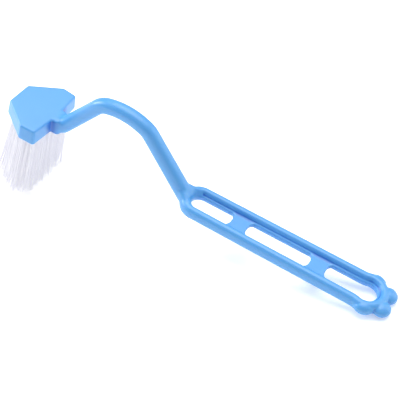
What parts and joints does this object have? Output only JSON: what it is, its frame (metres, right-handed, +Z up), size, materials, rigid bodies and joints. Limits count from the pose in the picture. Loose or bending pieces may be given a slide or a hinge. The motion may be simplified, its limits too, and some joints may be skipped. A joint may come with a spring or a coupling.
{
  "type": "toilet brush",
  "caption": "Toilet brush moulded in one piece: a flat tufted head, an arched neck and an open ring grip with cross webs and a lobed hanging eye.",
  "frame": {"origin": "middle of the footprint, on the surface that the brush rests on", "axes": "+Z up as the brush rests on its rear tufts and on the underside of the hanging eye; +X from the brush head towards the hanging eye; +Y across the brush"},
  "size_m": [0.2958, 0.05, 0.0901],
  "materials": {
    "sky_blue_plastic": "satin moulded polypropylene, sky blue",
    "white_bristle": "clear white nylon filament, slightly shiny",
    "zinc_coated_wire": "flattened zinc-coated steel wire"
  },
  "bodies": {
    "root": {"brush_body": "sky_blue_plastic", "tuft_01": "white_bristle", "tuft_02": "white_bristle", "tuft_03": "white_bristle", "tuft_04": "white_bristle", "tuft_05": "white_bristle", "tuft_06": "white_bristle", "tuft_07": "white_bristle", "tuft_08": "white_bristle", "tuft_09": "white_bristle", "tuft_10": "white_bristle", "tuft_11": "white_bristle", "tuft_12": "white_bristle", "tuft_13": "white_bristle", "tuft_14": "white_bristle", "tuft_15": "white_bristle", "tuft_16": "white_bristle", "tuft_17": "white_bristle", "tuft_18": "white_bristle", "tuft_19": "white_bristle", "tuft_20": "white_bristle", "tuft_21": "white_bristle", "tuft_22": "white_bristle", "tuft_23": "white_bristle", "tuft_24": "white_bristle", "tuft_25": "white_bristle", "anchor_01": "zinc_coated_wire", "anchor_02": "zinc_coated_wire", "anchor_03": "zinc_coated_wire", "anchor_04": "zinc_coated_wire", "anchor_05": "zinc_coated_wire", "anchor_06": "zinc_coated_wire", "anchor_07": "zinc_coated_wire", "anchor_08": "zinc_coated_wire", "anchor_09": "zinc_coated_wire", "anchor_10": "zinc_coated_wire", "anchor_11": "zinc_coated_wire", "anchor_12": "zinc_coated_wire", "anchor_13": "zinc_coated_wire", "anchor_14": "zinc_coated_wire", "anchor_15": "zinc_coated_wire", "anchor_16": "zinc_coated_wire", "anchor_17": "zinc_coated_wire", "anchor_18": "zinc_coated_wire", "anchor_19": "zinc_coated_wire", "anchor_20": "zinc_coated_wire", "anchor_21": "zinc_coated_wire", "anchor_22": "zinc_coated_wire", "anchor_23": "zinc_coated_wire", "anchor_24": "zinc_coated_wire", "anchor_25": "zinc_coated_wire"}
  },
  "joints": []
}
